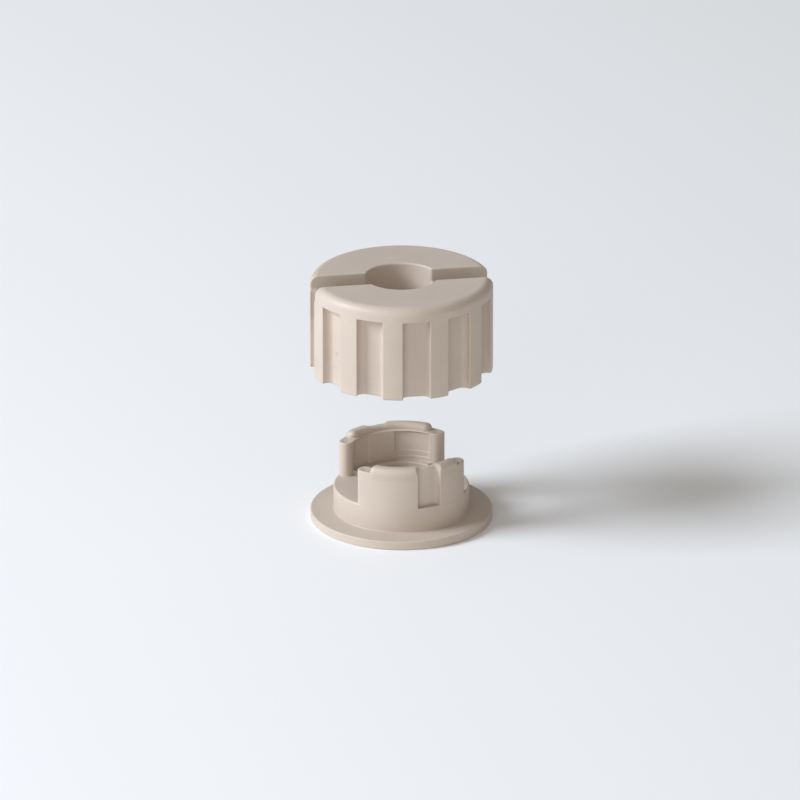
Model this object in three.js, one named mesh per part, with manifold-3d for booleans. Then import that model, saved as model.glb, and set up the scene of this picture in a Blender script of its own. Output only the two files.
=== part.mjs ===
// Desk grommet: a flanged base that stands round a cable hole, and a fluted cap
// that drops over it. Both are single plastic mouldings.
//
// Millimetres, +Z up. The origin is the centre of the flange's underside and
// the X axis runs along the cable slot of the cap. The cap is drawn lifted off
// the base, straight above it; it slides down the Z axis to seat on the flange.

import * as THREE from 'three';
import { mergeVertices } from 'three/addons/utils/BufferGeometryUtils.js';
import Module from 'manifold-3d';

// ---- driving dimensions ------------------------------------------------------

const outerRadius = 40;          // flange and cap share one outside diameter
const roundSegments = 96;        // facets round every full circle

// base
const flangeHeight = 4;
const flangeChamfer = 0.5;
const stepRadius = 29.8;         // fits a 60 mm hole in a desk top
const stepTop = 15;
const stepChamfer = 0.7;
const baseBoreRadius = 18.6;
const wallInnerRadius = 23.4;
const wallOuterRadius = 29.7;    // a hair inside the step, which leaves a faint line
const wallTurn = 4.9;            // degrees the wall pair is turned from the Y axis
const postAngle = 51.2;          // degrees from a wall's middle to its end posts
const postTop = 30.8;
const rimTop = 33.6;
const rimAngle = 41.5;           // degrees from a wall's middle to the end of its rim
const rimOuterRounding = 3;
const rimInnerRounding = 2;
const rimLedge = 1;              // width of the ledge left inside the rim
const rimSetBack = 0.1;          // rim foot inside the wall's outer face
const grooveStart = 0;           // outer groove, degrees from the wall's middle
const grooveEnd = 20.3;
const grooveDepth = 2.4;
const panelStart = -47;          // inner recessed panel, degrees from the middle
const panelEnd = -6.4;
const panelBottom = 18.9;
const panelTop = 30.2;
const panelDepth = 0.7;
const ledgeInnerRadius = 20.2;   // ledge along the foot of a wall's inner face
const ledgeAngle = 48;
const ledgeTop = 17;
const coreInnerRadius = 21.4;    // hollow under the step, divided by webs
const coreOuterRadius = 27;
const coreTop = 12;
const webCount = 8;
const webThickness = 2.4;

// cap, heights measured from its own lower rim
const capHeight = 42.6;
const capTopRounding = 4;
const capBoreRadius = 15.7;
const capEdgeChamfer = 0.5;
const sleeveWall = 2.5;          // wall round the bore
const sleeveBottom = 4;
const slotWidth = 13.4;
const slotDepth = 20.6;
const slotLowerWidth = 11;       // below the flutes' tops the slot is narrower
const slotWall = 2.6;            // walls and floor of the slot
const topThickness = 3;
const skirtInnerRadius = 32.5;
const fluteCount = 12;
const fluteFloorRadius = 35.9;   // from the cap's axis to the flat floor of a flute
const fluteWidth = 11.7;
const fluteRounding = 2.2;       // between a flute's floor and its sides
const fluteTop = capHeight - 6.6;
const slotLedge = fluteTop;      // height at which the slot changes width
const keyInset = 1.8;            // degrees a key is clear of each side of its groove
const keyClearance = 0.4;
const keyBottom = 12;
const keyTop = 29;

// places of the cap
const seatGap = 0.3;             // rim above the flange when the cap is seated
const lift = 66;                 // how far the cap is drawn above its seat
const capSeat = flangeHeight + seatGap;

const plasticColour = 0xd0c1b2;

// ---- solids ------------------------------------------------------------------

const wasm = await Module();
wasm.setup();

const radians = THREE.MathUtils.degToRad;

function toSolid(geometry) {
  geometry.deleteAttribute('normal');
  geometry.deleteAttribute('uv');
  const merged = mergeVertices(geometry, 1e-4);
  const mesh = new wasm.Mesh({
    numProp: 3,
    vertProperties: new Float32Array(merged.attributes.position.array),
    triVerts: new Uint32Array(merged.index.array),
  });
  return new wasm.Manifold(mesh);
}

function toGeometry(solid) {
  const mesh = solid.getMesh();
  const geometry = new THREE.BufferGeometry();
  geometry.setAttribute('position', new THREE.BufferAttribute(mesh.vertProperties, 3));
  geometry.setIndex(new THREE.BufferAttribute(mesh.triVerts, 1));
  return geometry;
}

// A ring or disc turned round the Z axis from [radius, height] points that run
// counter-clockwise round its section.
function turned(points) {
  const profile = [...points, points[0]].map(([r, z]) => new THREE.Vector2(r, z));
  const geometry = new THREE.LatheGeometry(profile, roundSegments);
  geometry.rotateX(Math.PI / 2);
  return toSolid(geometry);
}

// An upright prism of a flat outline, from one height to another.
function upright(shape, bottom, top, curveSegments = 24) {
  const depth = top - bottom;
  const geometry = new THREE.ExtrudeGeometry(shape, { depth, bevelEnabled: false, curveSegments });
  geometry.translate(0, 0, bottom);
  return toSolid(geometry);
}

function box(sizeX, sizeY, bottom, top) {
  const geometry = new THREE.BoxGeometry(sizeX, sizeY, top - bottom);
  geometry.translate(0, 0, (bottom + top) / 2);
  return toSolid(geometry);
}

function cylinder(radius, bottom, top, x = 0, y = 0, segments = roundSegments) {
  const geometry = new THREE.CylinderGeometry(radius, radius, top - bottom, segments);
  geometry.rotateX(Math.PI / 2);
  geometry.translate(x, y, (bottom + top) / 2);
  return toSolid(geometry);
}

// A piece of a ring between two radii and two angles, in degrees from -Y,
// counted towards +X.
function ringPiece(inner, outer, start, end, bottom, top) {
  const from = radians(start - 90);
  const to = radians(end - 90);
  const shape = new THREE.Shape();
  shape.absarc(0, 0, outer, from, to, false);
  shape.absarc(0, 0, inner, to, from, true);
  return upright(shape, bottom, top, Math.max(6, Math.ceil((end - start) / 3.75)));
}

// Points of a round corner from one direction to another, in degrees.
function corner(centreR, centreZ, radius, from, to, steps) {
  const points = [];
  for (let i = 0; i <= steps; i += 1) {
    const angle = radians(from + ((to - from) * i) / steps);
    points.push([centreR + radius * Math.cos(angle), centreZ + radius * Math.sin(angle)]);
  }
  return points;
}

function halfTurn(solid) {
  return solid.rotate([0, 0, 180]);
}

// ---- base --------------------------------------------------------------------

function flangeAndStep() {
  return turned([
    [baseBoreRadius, 0],
    [outerRadius - flangeChamfer, 0],
    [outerRadius, flangeChamfer],
    [outerRadius, flangeHeight - flangeChamfer],
    [outerRadius - flangeChamfer, flangeHeight],
    [stepRadius, flangeHeight],
    [stepRadius, stepTop - stepChamfer],
    [stepRadius - stepChamfer, stepTop],
    [baseBoreRadius, stepTop],
  ]);
}

// The rounded rim on top of a wall, as a whole ring.
function rimRing() {
  const innerFace = wallInnerRadius + rimLedge;
  const outerFace = wallOuterRadius - rimSetBack;
  const outerCentre = outerFace - rimOuterRounding;
  const innerCentre = innerFace + rimInnerRounding;
  const foot = postTop - 1;
  return turned([
    [innerFace, foot],
    [outerFace, foot],
    ...corner(outerCentre, rimTop - rimOuterRounding, rimOuterRounding, 0, 90, 5),
    ...corner(innerCentre, rimTop - rimInnerRounding, rimInnerRounding, 90, 180, 4),
  ]);
}

// One wall round its middle at -Y, with its posts, ledge, rim, groove and panel.
function standingWall() {
  const overlap = 1;
  const foot = stepTop - overlap;
  let wall = ringPiece(wallInnerRadius, wallOuterRadius, -postAngle, postAngle, foot, postTop);
  const postRadius = (wallOuterRadius - wallInnerRadius) / 2;
  const postCentre = (wallOuterRadius + wallInnerRadius) / 2;
  for (const side of [-1, 1]) {
    const angle = radians(side * postAngle - 90);
    const x = postCentre * Math.cos(angle);
    const y = postCentre * Math.sin(angle);
    wall = wall.add(cylinder(postRadius, foot, postTop, x, y, 24));
  }
  const ledgeOuter = wallInnerRadius + overlap;
  const ledge = ringPiece(ledgeInnerRadius, ledgeOuter, -ledgeAngle, ledgeAngle, foot, ledgeTop);
  wall = wall.add(ledge);
  const beyond = stepRadius + 5;
  const rimSpan = ringPiece(wallInnerRadius - 5, beyond, -rimAngle, rimAngle, foot, rimTop + 5);
  wall = wall.add(rimRing().intersect(rimSpan));
  const grooveFloor = wallOuterRadius - grooveDepth;
  wall = wall.subtract(
    ringPiece(grooveFloor, beyond, grooveStart, grooveEnd, stepTop, rimTop + 5),
  );
  const panelFloor = wallInnerRadius + panelDepth;
  return wall.subtract(
    ringPiece(wallInnerRadius - 2, panelFloor, panelStart, panelEnd, panelBottom, panelTop),
  );
}

// Hollows under the step, one between each pair of webs.
function underStepHollows() {
  const middle = (coreInnerRadius + coreOuterRadius) / 2;
  const webAngle = THREE.MathUtils.radToDeg(webThickness / middle);
  const pitch = 360 / webCount;
  let hollows = null;
  for (let i = 0; i < webCount; i += 1) {
    const start = i * pitch + webAngle / 2;
    const end = (i + 1) * pitch - webAngle / 2;
    const hollow = ringPiece(coreInnerRadius, coreOuterRadius, start, end, -1, coreTop);
    hollows = hollows ? hollows.add(hollow) : hollow;
  }
  return hollows;
}

function baseSolid() {
  const wall = standingWall().rotate([0, 0, wallTurn]);
  return flangeAndStep().add(wall).add(halfTurn(wall)).subtract(underStepHollows());
}

// ---- cap ---------------------------------------------------------------------

function capBlank() {
  const side = outerRadius - capTopRounding;
  return turned([
    [capBoreRadius, 0],
    [outerRadius, 0],
    ...corner(side, capHeight - capTopRounding, capTopRounding, 0, 90, 6),
    [capBoreRadius + capEdgeChamfer, capHeight],
    [capBoreRadius, capHeight - capEdgeChamfer],
  ]);
}

// Plan outline of the flute that faces +X, open beyond the cap's outside.
function fluteOutline() {
  const half = fluteWidth / 2;
  const beyond = outerRadius + 3;
  const cornerX = fluteFloorRadius + fluteRounding;
  const cornerY = half - fluteRounding;
  const outline = new THREE.Shape();
  outline.moveTo(beyond, -half);
  outline.lineTo(beyond, half);
  outline.lineTo(cornerX, half);
  outline.absarc(cornerX, cornerY, fluteRounding, Math.PI / 2, Math.PI, false);
  outline.absarc(cornerX, -cornerY, fluteRounding, Math.PI, 1.5 * Math.PI, false);
  outline.closePath();
  return outline;
}

function flutes() {
  const flute = upright(fluteOutline(), -1, fluteTop, 5);
  let cuts = null;
  for (let i = 0; i < fluteCount; i += 1) {
    const cut = flute.rotate([0, 0, (i * 360) / fluteCount]);
    cuts = cuts ? cuts.add(cut) : cut;
  }
  return cuts;
}

// The slot's hollow, wide above its ledge and narrower below. With a wall
// thickness given it is the case round that hollow.
function slotShape(length, wall, top) {
  const floor = capHeight - slotDepth;
  const upper = box(length, slotWidth + 2 * wall, slotLedge - wall, top);
  const lower = box(length, slotLowerWidth + 2 * wall, floor - wall, top);
  return upper.add(lower);
}

// Everything hollow inside the skirt: it leaves the sleeve round the bore, and
// the walls and floor of the slot.
function underside() {
  const ceiling = capHeight - topThickness;
  const cavity = cylinder(skirtInnerRadius, -1, ceiling);
  const sleeve = cylinder(capBoreRadius + sleeveWall, sleeveBottom, ceiling + 1);
  const slotCase = slotShape(2 * outerRadius, slotWall, ceiling + 1);
  return cavity.subtract(sleeve).subtract(slotCase);
}

// The two keys inside the skirt that run down the base's outer grooves.
function keys() {
  const tip = wallOuterRadius - grooveDepth + keyClearance;
  const start = grooveStart + keyInset;
  const end = grooveEnd - keyInset;
  const key = ringPiece(tip, skirtInnerRadius + 1, start, end, keyBottom, keyTop);
  const turnedKey = key.rotate([0, 0, wallTurn]);
  return turnedKey.add(halfTurn(turnedKey));
}

function capSolid() {
  const slot = slotShape(2 * outerRadius + 4, 0, capHeight + 2);
  return capBlank().subtract(flutes()).subtract(underside()).add(keys()).subtract(slot);
}

// ---- assembly ----------------------------------------------------------------

function plasticPart(name, solid) {
  const material = new THREE.MeshStandardMaterial({
    color: plasticColour,
    roughness: 0.55,
    metalness: 0,
  });
  const mesh = new THREE.Mesh(toGeometry(solid), material);
  mesh.name = name;
  return mesh;
}

const grommet = new THREE.Group();

const base = plasticPart('base', baseSolid());
grommet.add(base);

const cap = plasticPart('cap', capSolid());
cap.position.z = capSeat + lift;
grommet.add(cap);

export default grommet;
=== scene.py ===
"""Desk grommet: a moulded plastic base and a fluted cap, drawn apart on a plain pale floor.

Each of the two pieces is described by a distance function, in millimetres: how far a point is
from the piece's surface, negative inside it. The function is meshed on a fine grid, thinned where
the surface is plain, and settled back on the exact surface, so that every edge keeps the small
radius that a moulding has. Lengths are in millimetres up to the mesh, and in metres after it.
"""

import math

import bpy
import numpy as np
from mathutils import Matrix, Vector


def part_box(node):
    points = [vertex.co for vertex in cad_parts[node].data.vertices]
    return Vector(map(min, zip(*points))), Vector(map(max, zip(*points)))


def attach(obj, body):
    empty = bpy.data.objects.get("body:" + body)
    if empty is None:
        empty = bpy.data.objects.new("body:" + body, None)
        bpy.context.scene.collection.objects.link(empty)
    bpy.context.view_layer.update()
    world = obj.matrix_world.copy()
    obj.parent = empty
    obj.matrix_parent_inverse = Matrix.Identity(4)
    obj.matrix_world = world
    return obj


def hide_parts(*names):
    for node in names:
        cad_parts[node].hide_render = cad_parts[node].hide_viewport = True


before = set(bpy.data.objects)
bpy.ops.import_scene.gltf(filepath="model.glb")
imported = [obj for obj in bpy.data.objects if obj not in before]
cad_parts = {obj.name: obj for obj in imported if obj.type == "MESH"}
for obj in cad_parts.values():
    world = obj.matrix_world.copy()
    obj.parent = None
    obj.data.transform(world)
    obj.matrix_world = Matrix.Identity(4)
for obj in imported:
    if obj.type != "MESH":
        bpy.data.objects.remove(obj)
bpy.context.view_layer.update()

MM = 0.001
TINY = 1e-9

# ---- sizes of the two pieces, in millimetres and degrees ------------------------------------

OUTER_R = 40.0

FLANGE_H = 4.0
STEP_R = 29.8
STEP_TOP = 15.0
BASE_BORE_R = 18.6
WALL_IN_R = 23.4
WALL_OUT_R = 29.7
WALL_TURN = 4.9
POST_ANGLE = 51.2
POST_TOP = 30.8
RIM_TOP = 33.6
RIM_ANGLE = 43.6
RIM_END_ROUND = 2.6
RIM_LEDGE = 1.0
RIM_OUT_ROUND = 2.4
RIM_IN_ROUND = 2.0
GROOVE = (0.0, 20.3)
GROOVE_FLOOR_R = 27.3
RECESS = (-47.0, -6.4)
RECESS_Z = (18.9, 30.2)
RECESS_DEPTH = 0.7
CORE_R = (21.4, 27.0)
CORE_TOP = 12.0
WEBS = 8
WEB_T = 2.4

CAP_H = 42.6
CAP_BORE_R = 15.7
SLEEVE_WALL = 2.5
SLEEVE_BOTTOM = 4.0
SLOT_W = 13.4
SLOT_LOWER_W = 11.0
SLOT_DEPTH = 20.6
SLOT_WALL = 2.6
TOP_T = 3.0
SKIRT_IN_R = 32.5
FLUTES = 12
FLUTE_FLOOR_R = 35.9
FLUTE_W = 11.7
FLUTE_FILLET = 2.9
FLUTE_TOP = CAP_H - 6.6
SLOT_SHOULDER = FLUTE_TOP
KEY = (1.8, 18.5)
KEY_TIP_R = GROOVE_FLOOR_R + 0.4
KEY_Z = (12.0, 29.0)


# ---- distance functions --------------------------------------------------------------------

def both(a, b, rounding=0.0):
    """What lies in a and in b, with the edge between them rounded."""
    u = np.maximum(a + rounding, 0)
    v = np.maximum(b + rounding, 0)
    return np.minimum(-rounding, np.maximum(a, b)) + np.sqrt(u * u + v * v)


def either(a, b, fillet=0.0):
    """What lies in a or in b, with a fillet in the corner between them."""
    return -both(-a, -b, fillet)


def without(a, b, rounding=0.0):
    """a with b cut out of it, and the edge of the cut rounded."""
    return both(a, -b, rounding)


def between(value, low, high):
    return np.maximum(low - value, value - high)


def bearing(x, y, turn=0.0):
    """Angle from -Y towards +X, in degrees from -180 to 180."""
    angle = np.degrees(np.arctan2(x, -y)) - turn
    return (angle + 180) % 360 - 180


def sector(r, angle, start, end):
    """Distance along the arc to a span of bearings, negative inside it."""
    middle, half = (start + end) / 2, (end - start) / 2
    return (np.abs(angle - middle) - half) * np.radians(1) * r


def from_line(r, angle, line_r, line_angle):
    """Distance to a line that stands parallel to the axis."""
    turn = np.radians(angle - line_angle)
    square = r * r + line_r * line_r - 2 * r * line_r * np.cos(turn)
    return np.sqrt(square + TINY)


def opposite_pair(field, z, r, angle):
    """What field describes at bearing 0, and the same at bearing 180."""
    behind = angle % 360 - 180
    return np.minimum(field(z, r, angle), field(z, r, behind))


# ---- the cap, measured from its own lower rim -----------------------------------------------

CROWN_ROUND = 4.0
CAP_EDGE = 0.8              # round the bore and the slot
RIB_EDGE = 0.5
CAP_FOOT_ROUND = 0.7
CAVITY_ROUND = 1.2
CAVITY_EDGE = 0.4
CAVITY_FILLET = 1.0         # where the sleeve and the slot's case meet the cavity
SLEEVE_EDGE = 0.3
CASE_CORNER = 0.8
SLOT_CORNER = 0.4
KEY_ROUND = 1.2
KEY_END_ROUND = 0.5
KEY_FILLET = 0.6
FLUTE_TOP_EDGE = 0.3
FLUTE_STEP_Z = 8.7
FLUTE_STEP = 0.08
FLUTE_STEP_RUN = 0.3        # height over which the step fades in
GATE_MARK_BEARING = -60.0
GATE_MARK_Z = 14.5
GATE_MARK_R = 1.1
GATE_MARK_DEPTH = 0.25
GATE_MARK_ROUND = 0.2
GATE_MARK_EDGE = 0.15


def flute_field(x, y, z, r):
    """The flutes, with a faint step near their foot and a gate mark in one of them."""
    pitch = 360 / FLUTES
    angle = bearing(x, y)
    turn = np.radians((angle + pitch / 2) % pitch - pitch / 2)
    across = np.abs(r * np.sin(turn))
    out = r * np.cos(turn)
    step = FLUTE_STEP * np.clip((FLUTE_STEP_Z - z) / FLUTE_STEP_RUN, 0, 1)
    floor = FLUTE_FLOOR_R - step
    flute = both(across - FLUTE_W / 2, floor - out, FLUTE_FILLET)
    flute = both(flute, z - FLUTE_TOP, FLUTE_TOP_EDGE)

    along = r * np.radians(angle - GATE_MARK_BEARING)
    from_mark = np.sqrt(along * along + (z - GATE_MARK_Z) ** 2) - GATE_MARK_R
    mark = both(from_mark, FLUTE_FLOOR_R - GATE_MARK_DEPTH - r, GATE_MARK_ROUND)
    return either(flute, mark, GATE_MARK_EDGE)


def slot_field(y, z, wall, corner):
    """The slot's hollow, wider above its shoulder; with a wall given, the case round the hollow."""
    floor = CAP_H - SLOT_DEPTH
    shoulder_round = (SLOT_W - SLOT_LOWER_W) / 2
    upper = both(np.abs(y) - SLOT_W / 2 - wall, SLOT_SHOULDER - wall - z, shoulder_round)
    lower = both(np.abs(y) - SLOT_LOWER_W / 2 - wall, floor - wall - z, corner)
    return either(upper, lower, shoulder_round)


def key_field(z, r, angle):
    """The key that stands in the groove of the wall at bearing 0."""
    key = both(sector(r, angle, *KEY), KEY_TIP_R - r, KEY_ROUND)
    key = both(key, between(z, *KEY_Z), KEY_END_ROUND)
    return np.maximum(key, r - SKIRT_IN_R - 1)


def cap_distance(x, y, z):
    r = np.sqrt(x * x + y * y)
    body = both(r - OUTER_R, z - CAP_H, CROWN_ROUND)
    body = without(body, flute_field(x, y, z, r), RIB_EDGE)
    body = both(body, -z, CAP_FOOT_ROUND)

    cavity = both(r - SKIRT_IN_R, z - (CAP_H - TOP_T), CAVITY_ROUND)
    sleeve = both(r - CAP_BORE_R - SLEEVE_WALL, SLEEVE_BOTTOM - z, SLEEVE_EDGE)
    case = slot_field(y, z, SLOT_WALL, CASE_CORNER)
    cavity = without(cavity, either(sleeve, case, CAVITY_FILLET), CAVITY_FILLET)
    body = without(body, cavity, CAVITY_EDGE)

    keys = opposite_pair(key_field, z, r, bearing(x, y, WALL_TURN))
    body = either(body, keys, KEY_FILLET)

    body = without(body, r - CAP_BORE_R, CAP_EDGE)
    return without(body, slot_field(y, z, 0, SLOT_CORNER), CAP_EDGE)


# ---- the base --------------------------------------------------------------------------------

DISH_R = 2.0
DISH_DEPTH = 0.28
DISH_EDGE = 0.2
POST_EDGE = 0.45
LEDGE_R = 20.2
LEDGE_ANGLE = 50.0
LEDGE_TOP = 17.0
LEDGE_EDGE = 0.5
LEDGE_END_ROUND = 0.8
LEDGE_FILLET = 0.5
RECESS_CORNER = 1.2
RECESS_END_ROUND = 0.25
RECESS_EDGE = 0.2
RECESS_SHELF_Z = 21.3
RECESS_SHELF_SHARE = 0.6    # of the recess's depth
SMALL_RECESS = (22.4, 47.0)
SMALL_RECESS_DEPTH = 0.8
SMALL_RECESS_CORNER = 0.8
SMALL_RECESS_EDGE = 0.7
RIM_FOOT = 3.0              # how far the rim reaches down into the wall
OUTER_SKIN = 1.0            # no fillets this close to the wall's outer face
WALL_FILLET = 0.3
GROOVE_TOP_ROUND = 1.4
GROOVE_CORNER = 2.0
GROOVE_FOOT_ROUND = 0.3
GROOVE_EDGE = 0.45
GROOVE_EDGE_GROWTH = 0.9    # from the wall's top to the rim's
WALL_FOOT = 1.2             # how far the walls reach down into the step
FLANGE_EDGE = 0.6
FLANGE_FILLET = 0.5
STEP_EDGE = 0.8
BASE_BORE_EDGE = 0.6
CORE_CORNER = 0.8
WEB_FILLET = 0.6
CORE_EDGE = 0.3


def inner_fillet(r):
    """Fillet that fades out near the walls' outer face, which runs on without a bulge."""
    return np.clip(WALL_OUT_R - OUTER_SKIN - r, 0, WALL_FILLET)


def with_recesses(wall, z, r, angle):
    """The wall with the stepped panel and the plain small recess cut into its inner face."""
    span = sector(r, angle, *RECESS)
    recess = both(r - WALL_IN_R - RECESS_DEPTH, span, RECESS_CORNER)
    recess = both(recess, between(z, RECESS_SHELF_Z, RECESS_Z[1]), RECESS_END_ROUND)
    shelf = both(r - WALL_IN_R - RECESS_DEPTH * RECESS_SHELF_SHARE, span, RECESS_CORNER)
    shelf = both(shelf, between(z, *RECESS_Z), RECESS_END_ROUND)
    wall = without(wall, np.minimum(recess, shelf), RECESS_EDGE)

    small_span = sector(r, angle, *SMALL_RECESS)
    small = both(r - WALL_IN_R - SMALL_RECESS_DEPTH, small_span, SMALL_RECESS_CORNER)
    small = both(small, z - RECESS_Z[1], RECESS_END_ROUND)
    return without(wall, small, SMALL_RECESS_EDGE)


def wall_field(z, r, angle):
    """The wall whose middle is at bearing 0."""
    half_wall = (WALL_OUT_R - WALL_IN_R) / 2
    middle_r = (WALL_OUT_R + WALL_IN_R) / 2
    span = sector(r, angle, -POST_ANGLE, POST_ANGLE)
    wall = np.maximum(np.abs(r - middle_r) - half_wall, span)
    wall = with_recesses(wall, z, r, angle)

    ball_r = (DISH_R ** 2 + DISH_DEPTH ** 2) / (2 * DISH_DEPTH)
    dish_z = POST_TOP + ball_r - DISH_DEPTH
    dishes = None
    for side in (-1, 1):
        to_post = from_line(r, angle, middle_r, side * POST_ANGLE)
        wall = np.minimum(wall, to_post - half_wall)
        dish = np.sqrt(to_post ** 2 + (z - dish_z) ** 2) - ball_r
        dishes = dish if dishes is None else np.minimum(dishes, dish)
    wall = both(wall, z - POST_TOP, POST_EDGE)
    wall = without(wall, dishes, DISH_EDGE)

    rim = both(r - WALL_OUT_R, z - RIM_TOP, RIM_OUT_ROUND)
    rim = np.maximum(rim, both(WALL_IN_R + RIM_LEDGE - r, z - RIM_TOP, RIM_IN_ROUND))
    rim = both(rim, sector(r, angle, -RIM_ANGLE, RIM_ANGLE), RIM_END_ROUND)
    rim = np.maximum(rim, POST_TOP - RIM_FOOT - z)
    wall = either(wall, rim, inner_fillet(r))

    ledge = both(np.maximum(LEDGE_R - r, r - WALL_IN_R - 1), z - LEDGE_TOP, LEDGE_EDGE)
    ledge = both(ledge, sector(r, angle, -LEDGE_ANGLE, LEDGE_ANGLE), LEDGE_END_ROUND)
    wall = either(wall, ledge, LEDGE_FILLET)

    groove_back = -both(r - GROOVE_FLOOR_R, z - RIM_TOP, GROOVE_TOP_ROUND)
    groove = both(groove_back, sector(r, angle, *GROOVE), GROOVE_CORNER)
    groove = both(groove, STEP_TOP - z, GROOVE_FOOT_ROUND)
    softening = np.clip((z - POST_TOP + 1) / (RIM_TOP - POST_TOP), 0, 1)
    return without(wall, groove, GROOVE_EDGE + GROOVE_EDGE_GROWTH * softening)


def base_distance(x, y, z):
    r = np.sqrt(x * x + y * y)
    flange = both(r - OUTER_R, between(z, 0, FLANGE_H), FLANGE_EDGE)
    step = both(r - STEP_R, z - STEP_TOP, STEP_EDGE)
    body = np.maximum(either(flange, step, FLANGE_FILLET), -z)

    walls = opposite_pair(wall_field, z, r, bearing(x, y, WALL_TURN))
    walls = np.maximum(walls, STEP_TOP - WALL_FOOT - z)
    body = either(body, walls, inner_fillet(r))

    bore = np.maximum(r - BASE_BORE_R, z - STEP_TOP - 1)
    body = without(body, bore, BASE_BORE_EDGE)

    pitch = 360 / WEBS
    turn = np.radians((bearing(x, y) + pitch / 2) % pitch - pitch / 2)
    web = np.abs(np.sin(turn) * r) - WEB_T / 2
    core = both(between(r, *CORE_R), z - CORE_TOP, CORE_CORNER)
    core = without(core, web, WEB_FILLET)
    return without(body, core, CORE_EDGE)


# ---- meshing ---------------------------------------------------------------------------------

CELL = 0.36      # side of a grid cell
MARGIN = 1.0                            # how far the grid reaches past the piece
MOST_TRIANGLES = 180000
SLOPE_REACH = 0.02
LEAST_SLOPE = 0.25


def surface_net(distance, low, high, cell):
    """Points and quads of the surface where distance is 0: a point in each crossed grid cell."""
    axes = [np.arange(a, b + cell, cell, dtype=np.float32) for a, b in zip(low, high)]
    shape = tuple(len(a) for a in axes)
    value = np.empty(shape, np.float32)
    for i, x in enumerate(axes[0]):
        value[i] = distance(x, axes[1][:, None], axes[2][None, :])
    inside = value < 0
    cells = tuple(n - 1 for n in shape)
    size = int(np.prod(cells))
    total = np.zeros((3, size))
    count = np.zeros(size)
    crossings = []
    for axis in range(3):
        first = [slice(None)] * 3
        second = [slice(None)] * 3
        first[axis] = slice(0, -1)
        second[axis] = slice(1, None)
        first, second = tuple(first), tuple(second)
        where = np.argwhere(inside[first] != inside[second])
        a = value[first][tuple(where.T)]
        b = value[second][tuple(where.T)]
        point = where.astype(np.float32)
        point[:, axis] += a / (a - b)
        crossings.append((where, inside[first][tuple(where.T)]))
        u, v = [k for k in range(3) if k != axis]
        for du in (0, -1):
            for dv in (0, -1):
                near = where.copy()
                near[:, u] += du
                near[:, v] += dv
                at = np.ravel_multi_index(tuple(near.T), cells)
                count += np.bincount(at, minlength=size)
                for k in range(3):
                    total[k] += np.bincount(at, weights=point[:, k], minlength=size)
    used = count > 0
    index = np.full(size, -1, np.int64)
    index[used] = np.arange(int(used.sum()))
    index = index.reshape(cells)
    points = (total[:, used] / count[used]).T * cell + np.array(low)
    quads = []
    for axis, (where, starts_inside) in enumerate(crossings):
        u, v = [(1, 2), (2, 0), (0, 1)][axis]
        corners = []
        for du, dv in ((-1, -1), (0, -1), (0, 0), (-1, 0)):
            near = where.copy()
            near[:, u] += du
            near[:, v] += dv
            corners.append(index[tuple(near.T)])
        quad = np.stack(corners, axis=1)
        quad[~starts_inside] = quad[~starts_inside][:, ::-1]
        quads.append(quad)
    return points, np.concatenate(quads)


def gradient(distance, points):
    """Which way the distance grows at each point, and how fast."""
    slopes = []
    for axis in range(3):
        step = np.zeros(3)
        step[axis] = SLOPE_REACH
        ahead = distance(*(points + step).T)
        behind = distance(*(points - step).T)
        slopes.append((ahead - behind) / (2 * SLOPE_REACH))
    return np.stack(slopes, axis=1)


def settle(distance, points, limit, rounds=3):
    """Moves points on to the surface where distance is 0."""
    for _ in range(rounds):
        slope = gradient(distance, points)
        steep = np.maximum(np.sum(slope * slope, axis=1), LEAST_SLOPE)
        move = np.clip(distance(*points.T) / steep, -limit, limit)
        points = points - slope * move[:, None]
    return points


def read_points(mesh):
    flat = np.empty(len(mesh.vertices) * 3)
    mesh.vertices.foreach_get("co", flat)
    return flat.reshape(-1, 3)


def write_points(mesh, points):
    mesh.vertices.foreach_set("co", points.ravel())
    mesh.update()


def thin_out(piece, share):
    """Drops triangles where the surface is plain, until that share of them is left."""
    dense = piece.data
    thin = piece.modifiers.new("thin", "DECIMATE")
    thin.ratio = share
    depsgraph = bpy.context.evaluated_depsgraph_get()
    thinned = bpy.data.meshes.new_from_object(piece.evaluated_get(depsgraph))
    piece.modifiers.clear()
    piece.data = thinned
    bpy.data.meshes.remove(dense)
    thinned.name = piece.name


def build_piece(name, distance, low, high, lift):
    """A mesh object of the piece, raised by lift, with normals from the distance function."""
    points, quads = surface_net(distance, low, high, CELL)
    points = settle(distance, points, CELL / 2)
    mesh = bpy.data.meshes.new(name)
    mesh.from_pydata(points.tolist(), [], quads.tolist())
    piece = bpy.data.objects.new(name, mesh)
    bpy.context.scene.collection.objects.link(piece)
    share = MOST_TRIANGLES / (2 * len(quads))
    if share < 1:
        thin_out(piece, share)
        points = settle(distance, read_points(piece.data), CELL / 4)
    normals = gradient(distance, points)
    normals /= np.maximum(np.linalg.norm(normals, axis=1, keepdims=True), TINY)
    write_points(piece.data, (points + np.array([0, 0, lift])) * MM)
    piece.data.shade_smooth()
    piece.data.normals_split_custom_set_from_vertices(normals.tolist())
    return piece


# ---- materials -------------------------------------------------------------------------------

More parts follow.
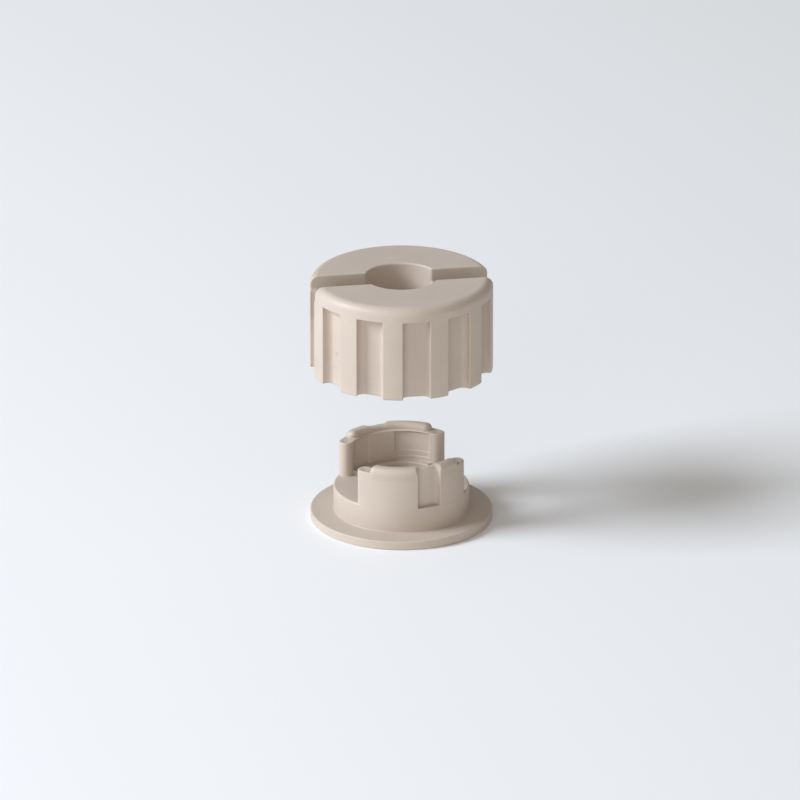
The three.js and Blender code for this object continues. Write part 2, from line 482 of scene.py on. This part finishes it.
EDGE_REACH = 0.35
BEIGE = (0.55, 0.452, 0.372)
CLOUD_SCALE = 55
CLOUD_TONES = (0.965, 1.03)
FLECK_SCALE = 260
FLECK_SIZE = (0.035, 0.075)             # a fleck is full inside the first, gone at the second
FLECK_SHARE = 0.45
FLECK_TINT = (1, 0.93, 0.84)
FLECK_TONE = 0.72
WEAR_AND_HIGHLIGHT_EDGE = (0.15, 0.8)                 # convexity where the paler edges, part wear and part painted highlight, start, and where they are full
WEAR_AND_HIGHLIGHT_SHARE = 0.28
WEAR_AND_HIGHLIGHT_TONE = 1.12
# painted shade: concave corners get a darker, warmer base colour
SHADED_CORNER = (-0.7, -0.12)
CORNER_SHADE_SHARE = 0.3
CORNER_SHADE_TINT = (1, 0.96, 0.9)
CORNER_SHADE_TONE = 0.8
POLISH_SCALE = 140
ROUGHNESS = (0.44, 0.56)
PLASTIC_IOR = 1.5
WAVE_SCALE = 90
WAVE_HEIGHT = 0.4 * MM
WAVE_STRENGTH = 0.15
GRAIN_SCALE = 2600
GRAIN_HEIGHT = 0.06 * MM
GRAIN_STRENGTH = 0.25
NOISE_SPAN = (0.3, 0.7)                 # most of a noise texture's values lie in this


def edge_values(distance, points):
    """How convex the surface is at each point: above 0 on an outer edge, below 0 in a corner."""
    here = distance(*points.T)
    around = np.zeros(len(points))
    for axis in range(3):
        step = np.zeros(3)
        step[axis] = EDGE_REACH
        around += distance(*(points + step).T) + distance(*(points - step).T)
    return np.clip((around - 6 * here) / EDGE_REACH, -1, 1)


class Nodes:
    """Short calls for a material's node tree."""

    def __init__(self, name):
        self.material = bpy.data.materials.new(name)
        self.material.use_nodes = True
        self.tree = self.material.node_tree
        self.shader = self.tree.nodes["Principled BSDF"]

    def add(self, kind, **settings):
        node = self.tree.nodes.new(kind)
        for key, value in settings.items():
            setattr(node, key, value)
        return node

    def link(self, out, into):
        self.tree.links.new(out, into)

    def noise(self, coords, scale, detail=4.0, rough=0.55):
        node = self.add("ShaderNodeTexNoise")
        node.inputs["Scale"].default_value = scale
        node.inputs["Detail"].default_value = detail
        node.inputs["Roughness"].default_value = rough
        self.link(coords, node.inputs["Vector"])
        return node.outputs["Fac"]

    def remap(self, value, span, new_span):
        node = self.add("ShaderNodeMapRange")
        sockets = ("From Min", "From Max", "To Min", "To Max")
        for socket, number in zip(sockets, span + new_span):
            node.inputs[socket].default_value = number
        self.link(value, node.inputs["Value"])
        return node.outputs["Result"]

    def mix(self, share, first, second):
        node = self.add("ShaderNodeMix", data_type="RGBA")
        self.link(share, node.inputs[0])
        for socket, value in ((node.inputs[6], first), (node.inputs[7], second)):
            if isinstance(value, tuple):
                socket.default_value = value
            else:
                self.link(value, socket)
        return node.outputs[2]

    def bump(self, height, strength, distance, normal=None):
        node = self.add("ShaderNodeBump")
        node.inputs["Strength"].default_value = strength
        node.inputs["Distance"].default_value = distance
        self.link(height, node.inputs["Height"])
        if normal is not None:
            self.link(normal, node.inputs["Normal"])
        return node.outputs["Normal"]


def tone(colour, factor, tint=(1, 1, 1)):
    return tuple(c * t * factor for c, t in zip(colour, tint)) + (1.0,)


def plastic_colour(nodes, coords, colour):
    """Faint cloudy flow, small dark flecks, paler edges of wear and painted highlight, and painted
    shade in corners.
    """
    cloud = nodes.remap(nodes.noise(coords, CLOUD_SCALE, 3), NOISE_SPAN, (0, 1))
    low_tone, high_tone = CLOUD_TONES
    base = nodes.mix(cloud, tone(colour, low_tone), tone(colour, high_tone))

    flecks = nodes.add("ShaderNodeTexVoronoi")
    flecks.inputs["Scale"].default_value = FLECK_SCALE
    nodes.link(coords, flecks.inputs["Vector"])
    spots = nodes.remap(flecks.outputs["Distance"], FLECK_SIZE, (FLECK_SHARE, 0))
    flecked = nodes.mix(spots, base, tone(colour, FLECK_TONE, FLECK_TINT))

    edge = nodes.add("ShaderNodeAttribute", attribute_name="edge").outputs["Fac"]
    # paler convex edges: partly wear, partly painted highlight
    wear_and_highlight = nodes.remap(edge, WEAR_AND_HIGHLIGHT_EDGE, (0, WEAR_AND_HIGHLIGHT_SHARE))
    lit_edges = nodes.mix(wear_and_highlight, flecked, tone(colour, WEAR_AND_HIGHLIGHT_TONE))
    # painted shade: darker and warmer in concave corners
    corner_shade = nodes.remap(edge, SHADED_CORNER, (CORNER_SHADE_SHARE, 0))
    return nodes.mix(corner_shade, lit_edges, tone(colour, CORNER_SHADE_TONE, CORNER_SHADE_TINT))


def moulded_plastic(name, colour):
    """Satin plastic with a fine spark-eroded grain over a barely wavy surface."""
    nodes = Nodes(name)
    coords = nodes.add("ShaderNodeTexCoord").outputs["Object"]
    nodes.link(plastic_colour(nodes, coords, colour), nodes.shader.inputs["Base Color"])

    polish = nodes.remap(nodes.noise(coords, POLISH_SCALE, 4), NOISE_SPAN, ROUGHNESS)
    nodes.link(polish, nodes.shader.inputs["Roughness"])
    nodes.shader.inputs["Metallic"].default_value = 0
    nodes.shader.inputs["IOR"].default_value = PLASTIC_IOR

    waves = nodes.bump(nodes.noise(coords, WAVE_SCALE, 2), WAVE_STRENGTH, WAVE_HEIGHT)
    fine = nodes.noise(coords, GRAIN_SCALE, 3, 0.6)
    grain = nodes.bump(fine, GRAIN_STRENGTH, GRAIN_HEIGHT, waves)
    nodes.link(grain, nodes.shader.inputs["Normal"])
    return nodes.material


# ---- the two pieces --------------------------------------------------------------------------

def make_piece(name, node, distance, material):
    """The finished piece: shaped, coloured, and tied to the CAD node that it replaces."""
    low, high = (np.array(corner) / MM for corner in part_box(node))
    lift = low[2]
    low = low - [0, 0, lift] - MARGIN
    high = high - [0, 0, lift] + MARGIN
    piece = build_piece(name, distance, low, high, lift)
    points = read_points(piece.data) / MM - np.array([0, 0, lift])
    values = piece.data.attributes.new("edge", "FLOAT", "POINT")
    values.data.foreach_set("value", edge_values(distance, points))
    piece.data.materials.append(material)
    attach(piece, node)
    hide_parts(node)
    return piece


make_piece("base_moulding", "base", base_distance, moulded_plastic("base_plastic", BEIGE))
make_piece("cap_moulding", "cap", cap_distance, moulded_plastic("cap_plastic", BEIGE))


# ---- floor, light and camera -----------------------------------------------------------------

FLOOR_HALF_SIDE = 4.0
FLOOR_COLOUR = (0.92, 0.9, 0.88, 1)
FLOOR_ROUGHNESS = 0.7

WORLD_STRENGTH = 0.345
WORLD_COLOUR = (1.0, 0.985, 0.96, 1)
LIGHT_AWAY = 3.2
LIT_HEIGHT = 50 * MM                    # the lights point at the axis at this height

VIEW_WIDTH = 350.1 * MM                 # what the frame spans at the object
SENSOR = 36.0
CAMERA_AWAY = 4.67
CAMERA_AZIMUTH = -9.6
CAMERA_ELEVATION = 22.1
CAMERA_REACH = 50                       # nothing further away than this is drawn
SIDE_SHIFT = -0.6 * MM                  # the object stands a touch right of the frame's middle
AIM_HEIGHT = 54.6 * MM


def flat_material(name, colour, roughness):
    nodes = Nodes(name)
    nodes.shader.inputs["Base Color"].default_value = colour
    nodes.shader.inputs["Roughness"].default_value = roughness
    return nodes.material


def make_floor(half_side):
    mesh = bpy.data.meshes.new("floor")
    corners = [(-1, -1), (1, -1), (1, 1), (-1, 1)]
    mesh.from_pydata([(x * half_side, y * half_side, 0) for x, y in corners], [], [(0, 1, 2, 3)])
    floor = bpy.data.objects.new("floor", mesh)
    paint = flat_material("floor_white", FLOOR_COLOUR, FLOOR_ROUGHNESS)
    floor.data.materials.append(paint)
    bpy.context.scene.collection.objects.link(floor)


def direction(azimuth, elevation):
    """Unit vector from the object to a viewer or light; azimuth 0 is at -Y, positive towards +X."""
    a, e = math.radians(azimuth), math.radians(elevation)
    return Vector((math.sin(a) * math.cos(e), -math.cos(a) * math.cos(e), math.sin(e)))


def aim(thing, azimuth, elevation, distance, target):
    back = direction(azimuth, elevation)
    thing.location = target + back * distance
    thing.rotation_euler = (-back).to_track_quat("-Z", "Y").to_euler()
    bpy.context.scene.collection.objects.link(thing)


def soft_light(name, azimuth, elevation, side, watts, colour):
    light = bpy.data.lights.new(name, "AREA")
    light.shape = "SQUARE"
    light.size = side
    light.energy = watts
    light.color = colour
    target = Vector((0, 0, LIT_HEIGHT))
    aim(bpy.data.objects.new(name, light), azimuth, elevation, LIGHT_AWAY, target)


def make_world(strength, colour):
    world = bpy.data.worlds.new("studio")
    world.use_nodes = True
    background = world.node_tree.nodes["Background"]
    background.inputs["Color"].default_value = colour
    background.inputs["Strength"].default_value = strength
    bpy.context.scene.world = world


def make_camera():
    data = bpy.data.cameras.new("camera")
    data.sensor_width = SENSOR
    data.lens = SENSOR * CAMERA_AWAY / VIEW_WIDTH
    data.clip_end = CAMERA_REACH
    turn = math.radians(CAMERA_AZIMUTH)
    target = Vector((SIDE_SHIFT * math.cos(turn), SIDE_SHIFT * math.sin(turn), AIM_HEIGHT))
    camera = bpy.data.objects.new("camera", data)
    aim(camera, CAMERA_AZIMUTH, CAMERA_ELEVATION, CAMERA_AWAY, target)
    bpy.context.scene.camera = camera


make_floor(FLOOR_HALF_SIDE)
make_world(WORLD_STRENGTH, WORLD_COLOUR)
soft_light("key", azimuth=-87, elevation=34, side=1.3, watts=108, colour=(0.90, 1.0, 1.13))
soft_light("fill", azimuth=-20, elevation=12, side=2.2, watts=28, colour=(0.99, 1.0, 1.02))
make_camera()
bpy.context.scene.view_settings.view_transform = "Standard"
